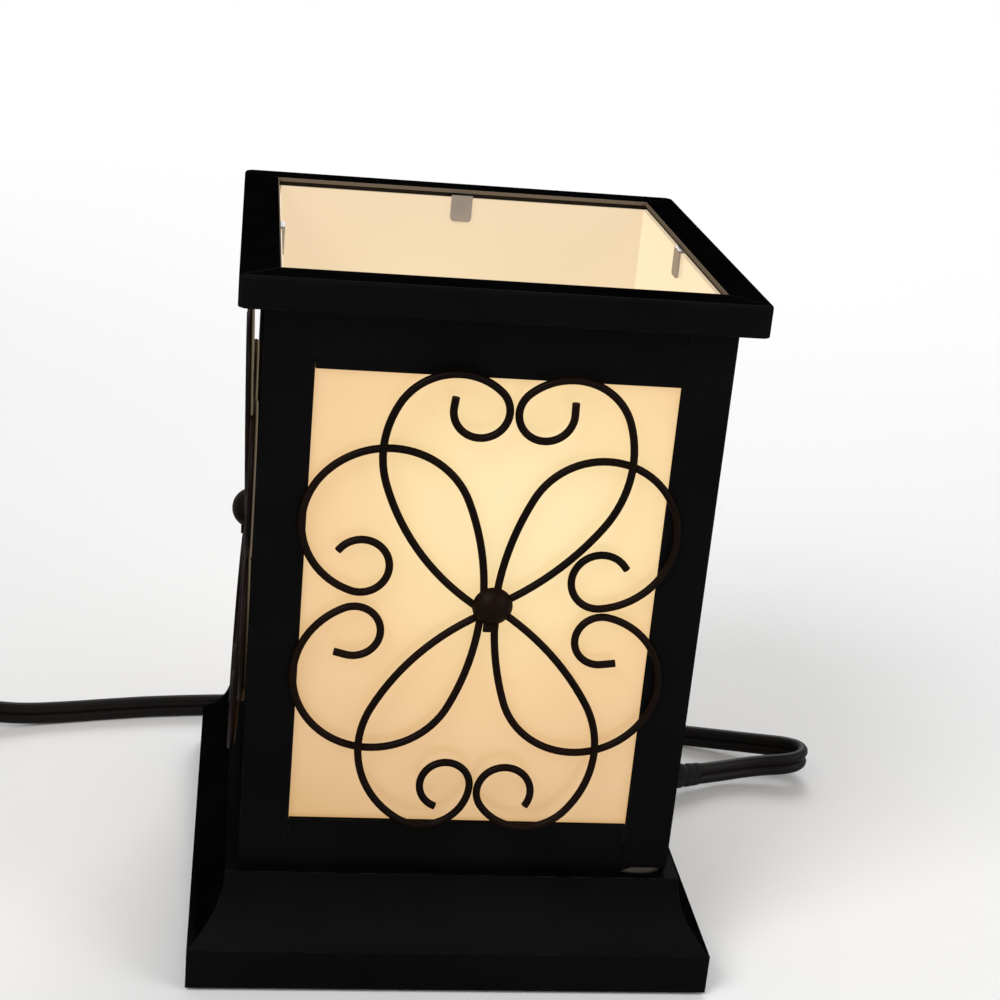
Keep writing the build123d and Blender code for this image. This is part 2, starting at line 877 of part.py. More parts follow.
def coil_path():
    """Half turns inwards on the lower layer, one that climbs, and half turns outwards on the upper."""
    x = coil_centre[0] - coil_outer_radius
    y = coil_centre[1]
    low, high = coil_height(0), coil_height(1)
    radius = coil_outer_radius
    edges = [Line((x, y + cord_width, low), (x, y, low))]
    side = 1
    for half_turn in range(coil_halves_in + 1 + coil_halves_out):
        climbing = half_turn == coil_halves_in
        level = low if half_turn <= coil_halves_in else high
        centre = x + side * radius
        far = centre + side * radius
        if climbing:
            middle_height = (low + high) / 2
            slope = 2 * (high - low) / (math.pi * radius)
            top = Vector(centre, y - side * radius, middle_height)
            way = Vector(side, 0, slope).normalized()
            edges += biarc(Vector(x, y, low), Vector(0, -side, 0), top, way)
            edges += biarc(top, way, Vector(far, y, high), Vector(0, side, 0))
        else:
            edges.append(ThreePointArc((x, y, level), (centre, y - side * radius, level), (far, y, level)))
        x = far
        side = -side
        radius += -coil_pitch / 2 if half_turn < coil_halves_in else coil_pitch / 2
    edges.append(Line((x, y, high), (x, y - cord_width, high)))
    return Wire(edges)


def least_gap(path):
    """The least gap between parts of the coiled cord that aren't next to each other along it."""
    lobe = (cord_width - conductor_diameter) / 2
    count = int(path.length / 2)
    points = [path @ (i / count) for i in range(count + 1)]
    apart = int(1.5 * cord_width / 2) + 2
    least = math.inf
    for i, a in enumerate(points):
        for b in points[i + apart :]:
            flat = math.hypot(a.X - b.X, a.Y - b.Y)
            rise = abs(a.Z - b.Z)
            for shift in (-2 * lobe, 0, 2 * lobe):
                least = min(least, math.hypot(flat, rise + shift))
    return least - conductor_diameter


def cord_coil():
    path = coil_path()
    print(f"cord_coil: least gap to itself {least_gap(path):.2f} mm")
    return swept_cord("cord_coil", path)


def coil_tie():
    """A strap round the bundle of turns at the side of the coil nearest the lamp, with its tail."""
    x_out = coil_centre[0] + coil_outer_radius + conductor_diameter / 2 + tie_gap
    turns_across = (coil_halves_in - 1) / 2
    x_in = x_out - turns_across * coil_pitch - conductor_diameter - 2 * tie_gap
    top = coil_height(1) + cord_width / 2 + tie_gap
    y = coil_centre[1]
    outer = block(
        (x_in - tie_sheet, y - tie_width / 2, 0),
        (x_out + tie_sheet, y + tie_width / 2, top + tie_sheet),
    )
    outer = fillet(outer.edges().filter_by(Axis.Y), tie_corner_radius)
    inner = block((x_in, y - tie_width, tie_sheet), (x_out, y + tie_width, top))
    inner = fillet(inner.edges().filter_by(Axis.Y), tie_corner_radius - tie_sheet)
    x_tail = x_in + tie_tail_start
    tail = block(
        (x_tail, y - tie_width / 2, top + tie_sheet / 2),
        (x_tail + tie_tail, y + tie_width / 2, top + 2 * tie_sheet),
    )
    return outer - inner + (tail - inner)


# Switch on the cord


def at_switch(shape, along=0.0, side=0.0, up=0.0):
    place = Pos(*switch_centre, 0) * Rot(0, 0, switch_heading)
    return place * Pos(along, side, up) * shape


def wheel_room():
    return wheel_radius + wheel_ridge_radius + wheel_gap


def switch_case():
    """Both halves as one shell, before it is parted at mid height."""
    case = Box(switch_length, switch_width, switch_height)
    case = fillet(case.edges().filter_by(Axis.Z), switch_corner)
    case = fillet(case.faces().sort_by(Axis.Z)[-1].edges(), switch_edge)
    case = fillet(case.faces().sort_by(Axis.Z)[0].edges(), switch_edge)
    room = (switch_length - 4 * switch_wall, switch_width - 2 * switch_wall, switch_height - 2 * switch_wall)
    case -= fillet(Box(*room).edges().filter_by(Axis.Z), switch_corner - switch_wall)
    thick, tall = exit_slot(bushing_clearance)
    case -= Pos(-switch_length / 2 - overcut, 0, 0) * slot_prism(thick, tall, switch_length + 2 * overcut)
    for side in (-1, 1):
        boss = Cylinder(switch_screw_radius + switch_boss_wall, switch_height - switch_wall)
        case += Pos(side * switch_screw_place, 0, 0) * boss
    wheel_slot = Cylinder(wheel_room(), wheel_thickness + 2 * wheel_gap)
    return case - Pos(0, wheel_offset, 0) * wheel_slot


def switch_half(upper):
    keep = Box(2 * switch_length, 2 * switch_width, switch_height / 2)
    level = switch_height / 4 + joint_gap / 2
    half = switch_case() & Pos(0, 0, level if upper else -level) * keep
    bore = switch_screw_radius + (hole_clearance if upper else thread_clearance)
    for side in (-1, 1):
        place = Pos(side * switch_screw_place, 0, 0)
        if upper:
            half -= place * rod(bore, -overcut, switch_height)
            half -= place * rod(
                switch_screw_head_radius + hole_clearance,
                switch_height / 2 - switch_screw_head_height,
                switch_height,
            )
        else:
            half -= place * rod(bore, -switch_height / 2 + switch_wall, overcut)
    inside = switch_height / 2 - switch_wall
    shoulder_end = wheel_thickness / 2 + wheel_gap
    place = Pos(0, wheel_offset, 0)
    if upper:
        half += place * ring(axle_radius + axle_shoulder, axle_radius + wheel_gap, shoulder_end, inside)
    else:
        half += place * rod(axle_radius + axle_shoulder, -inside, -shoulder_end)
        half += place * rod(axle_radius, -shoulder_end, inside - wheel_gap)
    return at_switch(half, up=switch_height / 2)


def switch_screws():
    screws = []
    for side in (-1, 1):
        head_low = switch_height - switch_screw_head_height
        top = switch_height - switch_screw_recess
        head = rod(switch_screw_head_radius, head_low, top)
        shank = rod(switch_screw_radius, switch_wall + overcut, head_low)
        screw = head + shank - Pos(0, 0, top) * screw_slot(switch_screw_head_radius)
        screws.append(at_switch(screw, along=side * switch_screw_place))
    return screws


def switch_wheel():
    wheel = Cylinder(wheel_radius, wheel_thickness)
    wheel = fillet(wheel.edges(), wheel_edge)
    for i in range(wheel_ridges):
        angle = 360 / wheel_ridges * i
        ridge = Pos(wheel_radius, 0, 0) * Cylinder(wheel_ridge_radius, wheel_thickness - 2 * wheel_edge)
        wheel += Rot(0, 0, angle) * ridge
    wheel -= Cylinder(axle_radius + axle_clearance, wheel_thickness + 2 * overcut)
    return at_switch(wheel, side=wheel_offset, up=switch_height / 2)


# Plug


def plug_start():
    """Where the cord's end meets the plug's relief, and the plug then runs along +X."""
    return plug_route[-1]


def plug_blade():
    """One blade lying flat in the plane of the plug, from its root in the body to its tip."""
    face = Rectangle(blade_length + blade_root, blade_width)
    face = fillet(face.vertices(), blade_corner)
    face -= Pos((blade_length + blade_root) / 2 - blade_hole_place, 0) * Circle(blade_hole_radius)
    return extrude(face, blade_thickness)


def plug_blades():
    x, y, z = plug_start()
    front = x + plug_relief_length + plug_length
    middle = front + (blade_length - blade_root) / 2
    blades = []
    for side in (-1, 1):
        place = Pos(middle, y + side * blade_spacing / 2 + blade_thickness / 2, z)
        blades.append(place * Rot(90, 0, 0) * plug_blade())
    return blades


def plug_relief():
    """The tapered sleeve of the cord's end, with grooves that let it bend."""
    relief = Rot(0, 90, 0) * Cone(
        plug_nose_radius,
        plug_height / 2 - plug_relief_step,
        plug_relief_length + overcut,
        align=(Align.CENTER, Align.CENTER, Align.MIN),
    )
    for i in range(plug_grooves):
        floor_radius = plug_nose_radius - plug_groove_depth + i * plug_groove_growth
        groove = Cylinder(plug_height, plug_groove_width) - Cylinder(floor_radius, 2 * plug_groove_width)
        relief -= Pos(plug_groove_start + i * plug_groove_pitch, 0, 0) * Rot(0, 90, 0) * groove
    return relief


def plug_body():
    x, y, z = plug_start()
    start = x + plug_relief_length
    size = (plug_length, plug_width, plug_height)
    body = Pos(start, y, z) * Box(*size, align=(Align.MIN, Align.CENTER, Align.CENTER))
    body = fillet(body.edges().filter_by(Axis.X), plug_corner)
    body = fillet(body.faces().sort_by(Axis.X)[-1].edges(), plug_front_edge)
    body = chamfer(body.faces().sort_by(Axis.X)[0].edges(), plug_back_chamfer)
    body += Pos(x, y, z) * plug_relief()
    slot = Box(
        blade_root + overcut,
        blade_thickness + 2 * joint_gap,
        blade_width + 2 * joint_gap,
        align=(Align.MIN, Align.CENTER, Align.CENTER),
    )
    slot_start = start + plug_length - blade_root - joint_gap
    for side in (-1, 1):
        body -= Pos(slot_start, y + side * blade_spacing / 2, z) * slot
    return body


def save(name, shape):
    if isinstance(shape, list):
        shape = Compound(children=[solid for item in shape for solid in item.solids()])
    export_step(shape, f"parts/{name}.step")


def build():
    os.makedirs("parts", exist_ok=True)
    save("base_shell", base_shell())
    save("base_cover", base_cover())
    save("cover_screws", cover_screws())
    save("rubber_feet", rubber_feet())
    save("cord_bushing", cord_bushing())

    for name, angle in CORNERS.items():
        post = lifted_post() if name == "front_right" else about_z(corner_post(), angle)
        save(f"corner_post_{name}", post)
    rails = {"top_rail": top_rail(), "bottom_rail": bottom_rail(), "glass_pane": glass_pane()}
    rails["cap_rail"] = cap_rail()
    rails["scroll_grille"] = on_front(grille_flat())
    for piece, shape in rails.items():
        for side, angle in SIDES.items():
            save(f"{piece}_{side}", about_z(shape, angle))
    save("pane_clips", [about_z(pane_clip(), angle) for angle in SIDES.values()])
    domes = []
    for side, angle in SIDES.items():
        lift = left_dome_lift if side == "left" else 0
        dome = on_front(grille_dome(), dome_shift_side, dome_shift_up + lift, hub_front())
        domes.append(about_z(dome, angle))
    save("grille_domes", domes)

    save("locating_pan", locating_pan())
    save("threaded_nipple", threaded_nipple())
    save("nipple_nut", nipple_nut())
    save("nipple_washer", nipple_washer())
    save("socket_cap", socket_cap())
    save("socket_shell", socket_shell())
    save("socket_insulator", socket_insulator())
    save("socket_core", socket_core())
    save("terminal_screws", terminal_screws())
    save("threaded_shell", threaded_shell())
    save("centre_contact", centre_contact())
    save("inner_wires", inner_wires())
    save("bulb_glass", bulb_glass())
    save("bulb_screw_cap", bulb_screw_cap())
    save("bulb_insulator", bulb_insulator())
    save("bulb_tip", bulb_tip())

    save("cord_at_lamp", laid_cord("cord_at_lamp", near_route))
    save("cord_after_switch", laid_cord("cord_after_switch", middle_route))
    save("cord_coil", cord_coil())
    save("cord_at_plug", laid_cord("cord_at_plug", plug_route))
    save("coil_tie", coil_tie())
    save("switch_lower_half", switch_half(upper=False))
    save("switch_upper_half", switch_half(upper=True))
    save("switch_wheel", switch_wheel())
    save("switch_screws", switch_screws())
    save("plug_body", plug_body())
    save("plug_blades", plug_blades())


build()
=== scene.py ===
# %% [markdown]
# # A square lantern lamp
# The lamp is a black sheet metal cage with four opal glass panes, standing on a coved base. Bent wire
# scrolls lie over the glass. The metal and the glass come from the solid model, so this file gives them
# soft edges and finishes, lays the cord, and lights the lamp from inside.

# %% Load the solid model
import bpy
import bmesh
import json
import math
from mathutils import Matrix, Vector


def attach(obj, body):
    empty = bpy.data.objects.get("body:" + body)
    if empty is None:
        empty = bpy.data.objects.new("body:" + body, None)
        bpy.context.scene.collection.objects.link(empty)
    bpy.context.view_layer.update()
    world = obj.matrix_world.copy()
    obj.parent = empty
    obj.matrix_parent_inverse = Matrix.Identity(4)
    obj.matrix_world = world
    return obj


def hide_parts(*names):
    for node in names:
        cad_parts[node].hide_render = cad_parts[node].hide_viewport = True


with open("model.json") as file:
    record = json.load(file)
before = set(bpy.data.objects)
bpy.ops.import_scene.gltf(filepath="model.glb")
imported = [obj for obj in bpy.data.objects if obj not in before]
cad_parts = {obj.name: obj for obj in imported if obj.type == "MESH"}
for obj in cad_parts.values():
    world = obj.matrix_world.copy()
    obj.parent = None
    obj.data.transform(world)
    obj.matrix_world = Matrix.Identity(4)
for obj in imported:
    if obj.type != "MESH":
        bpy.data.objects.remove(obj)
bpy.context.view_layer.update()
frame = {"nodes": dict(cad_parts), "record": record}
MM = 0.001
nodes = frame["nodes"]
body_of = {}
for body, names in frame["record"]["behaviour"]["bodies"].items():
    for name in names:
        body_of[name] = body

# %% [markdown]
# ## The camera
# The view is the one the lamp was seen from: a long lens, a little to the left, looking down and rolled.
# The angles turn the camera about Z, then X, then its own line of sight.

# %% Camera
camera_place = Vector((-60.56, -480.98, 289.97)) * MM
yaw, pitch, roll = (math.radians(a) for a in (-8.44, -20.14, -5.53))
turn = Matrix.Rotation(yaw, 3, "Z") @ Matrix.Rotation(pitch, 3, "X") @ Matrix.Rotation(roll, 3, "Y")
turn = turn @ Matrix.Rotation(math.radians(90), 3, "X")
focal_pixels, picture_pixels, sensor_mm = 1900.58, 1000, 36.0
camera_data = bpy.data.cameras.new("camera")
camera_data.sensor_width = sensor_mm
camera_data.lens = sensor_mm * focal_pixels / picture_pixels
camera_data.clip_start = 0.01
camera = bpy.data.objects.new("camera", camera_data)
camera.matrix_world = Matrix.Translation(camera_place) @ turn.to_4x4()
bpy.context.scene.collection.objects.link(camera)
bpy.context.scene.camera = camera
print("camera", [round(v, 3) for v in camera_place])

# %% [markdown]
# ## The route of the cord
# A light lamp cord is two conductors side by side. It leaves the right side of the base, folds back on the
# table, and runs behind the lamp to its switch. The rest is stored as a neat coil of two layers. One NURBS
# spline carries all of it: its control points are the places where the cord is guided.

# %% Route points, in millimetres
cord_width, conductor, web_width = 7.1, 3.5, 1.0
to_switch = [
    (54.0, 38.0, 6.8), (76.0, 38.0, 6.8), (95.5, 47.2, 4.4), (109.5, 50.4, 5.4), (122.5, 49.2, 7.2),
    (126.9, 54.2, 7.8), (124.2, 60.4, 7.2), (112.3, 65.6, 5.6), (100.0, 70.6, 4.3), (82.0, 75.2, 3.6),
    (58.0, 79.4, 3.6), (31.0, 83.2, 3.6), (2.0, 86.3, 3.6), (-27.0, 87.9, 3.6), (-56.0, 87.0, 3.6),
    (-82.0, 84.0, 3.6), (-97.0, 81.0, 3.6), (-110.5, 77.9, 3.6), (-125.5, 74.2, 4.2), (-137.0, 70.7, 7.0),
    (-148.2, 65.5, 7.0),
]
to_coil = [(-196.1, 43.1, 7.0), (-211.9, 35.7, 6.9), (-223.9, 22.9, 5.2), (-230.2, 6.6, 4.75)]
to_plug = [
    (-226.05, -41.0, 12.35), (-221.4, -56.6, 10.6), (-211.8, -70.4, 8.2), (-197.6, -79.0, 6.5),
    (-184.0, -79.0, 6.5),
]


def coil_points(x, y, radius, pitch, low, high, halves_in, halves_out, per_half=12):
    """Half turns inwards on the lower layer, one that climbs, and half turns outwards on the upper."""
    shrink = math.cos(math.pi / per_half / 2)
    side = 1
    points = []
    for half in range(halves_in + 1 + halves_out):
        centre = x + side * radius
        for i in range(per_half):
            share = (i + 0.5) / per_half
            angle = math.pi * share + (math.pi if side > 0 else 0)
            climb = share if half == halves_in else float(half > halves_in)
            level = low + (high - low) * climb
            reach = radius / shrink
            points.append((centre + reach * math.cos(angle), y + reach * math.sin(angle), level))
        x = centre + side * radius
        side = -side
        radius += -pitch / 2 if half < halves_in else pitch / 2
    return points


coil = coil_points(-230.2, -18.0, 44.2, 4.15, 4.75, 12.35, 5, 4)
route = [Vector(p) * MM for p in to_switch + to_coil + coil + to_plug]
print("route points:", len(route), "of which in the coil:", len(coil))

# %% Spline and the line read from it
least_step = 0.2 * MM
curve = bpy.data.curves.new("cord_line", "CURVE")
curve.dimensions = "3D"
curve.resolution_u = 8
spline = curve.splines.new("NURBS")
spline.points.add(len(route) - 1)
for point, place in zip(spline.points, route):
    point.co = (*place, 1.0)
spline.order_u = 3
spline.use_endpoint_u = True
guide = bpy.data.objects.new("cord_line", curve)
line_mesh = bpy.data.meshes.new_from_object(guide)
line = [line_mesh.vertices[0].co.copy()]
for vertex in line_mesh.vertices:
    if (vertex.co - line[-1]).length > least_step:
        line.append(vertex.co.copy())
cord_length = sum((b - a).length for a, b in zip(line, line[1:]))
bpy.data.objects.remove(guide)
bpy.data.meshes.remove(line_mesh)
print("line points:", len(line), "length:", round(cord_length, 3))


# %% [markdown]
# ## A tube along a line
# The section is drawn once, as a loop of vertices. Each step extrudes the loop and moves it to the next
# place on the line, as a hose is drawn out of a die. The section stays upright, since the cord lies flat
# against itself in the coil.

# %% Helpers for new pieces
def new_object(name, bm, smooth_angle=40):
    mesh = bpy.data.meshes.new(name)
    bm.to_mesh(mesh)
    bm.free()
    mesh.shade_smooth()
    mesh.set_sharp_from_angle(angle=math.radians(smooth_angle))
    piece = bpy.data.objects.new(name, mesh)
    bpy.context.scene.collection.objects.link(piece)
    return piece


def frames_along(path):
    """At each point of a path, a matrix whose X is the side, Y is up and Z is the way on."""
    frames = []
    for i, place in enumerate(path):
        way = (path[min(i + 1, len(path) - 1)] - path[max(i - 1, 0)]).normalized()
        side = way.cross(Vector((0, 0, 1))).normalized()
        up = side.cross(way)
        turn = Matrix((side, up, way)).transposed().to_4x4()
        frames.append(Matrix.Translation(place) @ turn)
    return frames


def drawn_tube(name, path, section, scale=lambda share: 1.0):
    """A tube with a closed section of (side, up) points, drawn along a path."""
    frames = frames_along(path)
    bm = bmesh.new()
    loop = [bm.verts.new((x, y, 0.0)) for x, y in section]
    edges = [bm.edges.new((a, b)) for a, b in zip(loop, loop[1:] + loop[:1])]
    start_edges = list(edges)
    before = Matrix.Diagonal((scale(0.0), scale(0.0), 1.0, 1.0))
    bmesh.ops.transform(bm, matrix=frames[0] @ before, verts=loop)
    last = frames[0] @ before
    for i, place in enumerate(frames[1:], 1):
        size = scale(i / (len(frames) - 1))
        here = place @ Matrix.Diagonal((size, size, 1.0, 1.0))
        step = bmesh.ops.extrude_edge_only(bm, edges=edges)["geom"]
        verts = [g for g in step if isinstance(g, bmesh.types.BMVert)]
        edges = [g for g in step if isinstance(g, bmesh.types.BMEdge)]
        edges = [e for e in edges if e.verts[0] in verts and e.verts[1] in verts]
        bmesh.ops.transform(bm, matrix=here @ last.inverted(), verts=verts)
        last = here
    bmesh.ops.holes_fill(bm, edges=start_edges, sides=0)
    bmesh.ops.holes_fill(bm, edges=edges, sides=0)
    bmesh.ops.recalc_face_normals(bm, faces=bm.faces)
    return new_object(name, bm)


def twin_section(width, thick, web, per_lobe=11):
    """Two round lobes, one over the other, joined by a thin web."""
    radius = thick / 2
    lobe = (width - thick) / 2
    pinch = math.asin(web / 2 / radius)
    points = []
    for centre, start in ((lobe, -math.pi / 2 + pinch), (-lobe, math.pi / 2 + pinch)):
        sweep = 2 * math.pi - 2 * pinch
        for i in range(per_lobe):
            angle = start + sweep * i / (per_lobe - 1)
            points.append((radius * math.cos(angle), centre + radius * math.sin(angle)))
    return points


# %% The cord
section = [(x * MM, y * MM) for x, y in twin_section(cord_width, conductor, web_width)]
cord = drawn_tube("twin_cord", line, section)
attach(cord, "base")
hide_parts("cord_at_lamp", "cord_after_switch", "cord_coil", "cord_at_plug")
print("cord faces:", len(cord.data.polygons))


# %% The sleeve at the base, where the cord comes out
def between(path, start, end, step):
    """The part of a path between two values of X, at even steps of X."""
    places = []
    count = round((end - start) / step)
    for i in range(count + 1):
        x = start + step * i
        a, b = next((a, b) for a, b in zip(path, path[1:]) if a.x <= x <= b.x)
        places.append(a.lerp(b, (x - a.x) / (b.x - a.x)))
    return places


sleeve_width, sleeve_thickness, sleeve_web = 9.7, 5.9, 4.2
sleeve_start, sleeve_end, sleeve_step = 0.0689, 0.0893, 0.0004
narrowing, groove_depth, groove_count = 0.24, 0.07, 7


def sleeve_size(share):
    """It narrows from the base outwards, with shallow grooves that let it bend."""
    grooved = 0.12 < share < 0.9 and math.sin(share * 2 * math.pi * groove_count) > 0.25
    return 1.0 - narrowing * share - (groove_depth if grooved else 0.0)


sleeve_section = [(x * MM, y * MM) for x, y in twin_section(sleeve_width, sleeve_thickness, sleeve_web)]
sleeve_path = between(line, sleeve_start, sleeve_end, sleeve_step)
sleeve = drawn_tube("cord_sleeve", sleeve_path, sleeve_section, sleeve_size)
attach(sleeve, "base")
print("sleeve faces:", len(sleeve.data.polygons))

# %% [markdown]
# ## Soft edges
# Bent and cut sheet is never razor sharp: paint and tumbling leave each edge with a radius of a few tenths
# of a millimetre, and that radius is what catches the light. A copy of each solid is merged, its flat
# triangles are joined, and its sharp edges are bevelled. Weighted normals keep the flat faces flat up to the
# bevel.

# %% Copies with rounded edges
merge_distance = 2e-6
flat_within = math.radians(0.4)


def soft_copy(node, radius, sharp=30, segments=2, smooth_angle=50):
    bm = bmesh.new()
    bm.from_mesh(nodes[node].data)
    bmesh.ops.remove_doubles(bm, verts=bm.verts, dist=merge_distance)
    bmesh.ops.dissolve_limit(bm, angle_limit=flat_within, verts=bm.verts, edges=bm.edges)
    if radius:
        edges = [e for e in bm.edges if e.is_manifold and e.calc_face_angle() > math.radians(sharp)]
        bmesh.ops.bevel(
            bm, geom=edges, offset=radius * MM, offset_type="OFFSET", segments=segments, profile=0.5,
            affect="EDGES", clamp_overlap=True, material=-1, loop_slide=True,
        )
    piece = new_object(node + "_soft", bm, smooth_angle)
    if radius:
        piece.modifiers.new("flat_faces_stay_flat", "WEIGHTED_NORMAL").keep_sharp = True
    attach(piece, body_of[node])
    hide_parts(node)
    return piece


SIDES = ("front", "right", "back", "left")
CORNERS = ("front_left", "front_right", "back_right", "back_left")
shown = {}
edge_radius = {"base_shell": 0.5, "plug_body": 0.25, "switch_upper_half": 0.15, "switch_lower_half": 0.15}
for side in SIDES:
    for rail in ("top_rail", "bottom_rail", "cap_rail"):
        edge_radius[f"{rail}_{side}"] = 0.15
    edge_radius[f"scroll_grille_{side}"] = 0
for corner in CORNERS:
    edge_radius[f"corner_post_{corner}"] = 0.2
for node in nodes:
    if node.startswith("cord_at") or node in ("cord_after_switch", "cord_coil"):
        continue
    shown[node] = soft_copy(node, edge_radius[node]) if node in edge_radius else nodes[node]
print("pieces with soft edges:", len(edge_radius))

# %% [markdown]
# ## Finishes
# Every finish is a small network of nodes. What several of them share, such as the fine skin of paint or
# moulded plastic, is a group that is made once and placed with different values.

# %% Helpers for node networks
def add(tree, kind, x=0, y=0, **values):
    node = tree.nodes.new(kind)
    node.location = (x, y)
    for key, value in values.items():
        setattr(node, key, value)
    return node


def math_node(tree, operation, a, b=None, clamp=False):
    node = tree.nodes.new("ShaderNodeMath")
    node.operation = operation
    node.use_clamp = clamp
    for socket, value in zip(node.inputs, (a, b)):
        if value is None:
            continue
        if isinstance(value, (int, float)):
            socket.default_value = value
        else:
            tree.links.new(value, socket)
    return node.outputs[0]


def ramp(tree, value, stops, interpolation="LINEAR"):
    node = tree.nodes.new("ShaderNodeValToRGB")
    node.color_ramp.interpolation = interpolation
    elements = node.color_ramp.elements
    while len(elements) < len(stops):
        elements.new(0.5)
    for element, (place, colour) in zip(elements, stops):
        element.position = place
        element.color = (*colour, 1.0) if len(colour) == 3 else colour
    tree.links.new(value, node.inputs[0])
    return node.outputs[0]


def new_group(name, inputs, outputs):
    """A shader node group with named inputs (kind, default) and outputs."""
    tree = bpy.data.node_groups.new(name, "ShaderNodeTree")
    for label, (kind, value) in inputs.items():
        socket = tree.interface.new_socket(name=label, in_out="INPUT", socket_type=kind)
        socket.default_value = value
    for label, kind in outputs.items():
        tree.interface.new_socket(name=label, in_out="OUTPUT", socket_type=kind)
    return tree, add(tree, "NodeGroupInput", -900), add(tree, "NodeGroupOutput", 600)


FLOAT = "NodeSocketFloat"

# %% Group: the fine skin of a finish
skin, skin_in, skin_out = new_group(
    "fine_skin",
    {"Grain per mm": (FLOAT, 1.5), "Cloud per mm": (FLOAT, 0.05)},
    {"Grain": FLOAT, "Cloud": FLOAT},
)
skin_place = add(skin, "ShaderNodeTexCoord", -900, -300)
for label, detail in (("Grain", 3.0), ("Cloud", 4.0)):
    noise = add(skin, "ShaderNodeTexNoise", -300, 200 if label == "Grain" else -200)
    noise.inputs["Detail"].default_value = detail
    per_metre = math_node(skin, "MULTIPLY", skin_in.outputs[label + " per mm"], 1000.0)
    skin.links.new(skin_place.outputs["Object"], noise.inputs["Vector"])
    skin.links.new(per_metre, noise.inputs["Scale"])
    skin.links.new(noise.outputs["Fac"], skin_out.inputs[label])
print("group:", skin.name)

# %% Group: where edges are rubbed
rub, rub_in, rub_out = new_group(
    "rubbed_edges",
    {"Width mm": (FLOAT, 0.5), "Amount": (FLOAT, 0.5)},
    {"Mask": FLOAT},
)
rub_geometry = add(rub, "ShaderNodeNewGeometry", -900, -300)
rub_bevel = add(rub, "ShaderNodeBevel", -600, -300, samples=4)
rub.links.new(math_node(rub, "MULTIPLY", rub_in.outputs["Width mm"], MM), rub_bevel.inputs["Radius"])
rub_dot = add(rub, "ShaderNodeVectorMath", -300, -300, operation="DOT_PRODUCT")
rub.links.new(rub_bevel.outputs["Normal"], rub_dot.inputs[0])
rub.links.new(rub_geometry.outputs["Normal"], rub_dot.inputs[1])
edge_gain, patches_per_metre = 5.0, 220.0
rub_bend = math_node(rub, "SUBTRACT", 1.0, rub_dot.outputs["Value"])
rub_edge = math_node(rub, "MULTIPLY", rub_bend, edge_gain, clamp=True)
rub_noise = add(rub, "ShaderNodeTexNoise", -600, 200)
rub_noise.inputs["Scale"].default_value = patches_per_metre
rub_noise.inputs["Detail"].default_value = 6.0
rub_place = add(rub, "ShaderNodeTexCoord", -900, 200)
rub.links.new(rub_place.outputs["Object"], rub_noise.inputs["Vector"])
rub_patch = ramp(rub, rub_noise.outputs["Fac"], [(0.48, (0, 0, 0)), (0.62, (1, 1, 1))])
rub_worn = math_node(rub, "MULTIPLY", rub_edge, rub_patch)
rub_mask = math_node(rub, "MULTIPLY", rub_worn, rub_in.outputs["Amount"])
rub.links.new(rub_mask, rub_out.inputs["Mask"])
print("group:", rub.name)

# %% Group: distances that tell the parts of the cage from each other
places, _, places_out = new_group("cage_places", {}, {"Widest": FLOAT, "Narrowest": FLOAT, "Height": FLOAT})
places_from = add(places, "ShaderNodeTexCoord", -700)
places_split = add(places, "ShaderNodeSeparateXYZ", -500)
places.links.new(places_from.outputs["Object"], places_split.inputs[0])
across = [math_node(places, "ABSOLUTE", places_split.outputs[axis]) for axis in "XY"]
places.links.new(math_node(places, "MAXIMUM", *across), places_out.inputs["Widest"])
places.links.new(math_node(places, "MINIMUM", *across), places_out.inputs["Narrowest"])
places.links.new(places_split.outputs["Z"], places_out.inputs["Height"])
print("group:", places.name)


def all_of(tree, *tests):
    """1 where each (value, comparison, limit) holds."""
    mask = 1.0
    for value, comparison, limit in tests:
        mask = math_node(tree, "MULTIPLY", math_node(tree, comparison, value, limit), mask)
    return mask


# %% [markdown]
# ## Painted metal
# The cage and the base have a satin black paint with a fine orange-peel skin. The scrolls and domes are
# darker bronze. Both start from one recipe: a base colour that drifts a little, a roughness that drifts
# with it, a grain in the height, and a trace of lighter metal on rubbed edges.

# %% Recipe for paint and plastic
def group_in(tree, group, values):
    node = tree.nodes.new("ShaderNodeGroup")
    node.node_tree = group
    for key, value in values.items():
        node.inputs[key].default_value = value
    return node


def mixed(tree, factor, a, b):
    node = tree.nodes.new("ShaderNodeMix")
    node.data_type = "RGBA"
    for socket, value in ((node.inputs["Factor"], factor), (node.inputs[6], a), (node.inputs[7], b)):
        if isinstance(value, tuple):
            socket.default_value = (*value, 1.0)
        elif isinstance(value, (int, float)):
            socket.default_value = value
        else:
            tree.links.new(value, socket)
    return node.outputs[2]


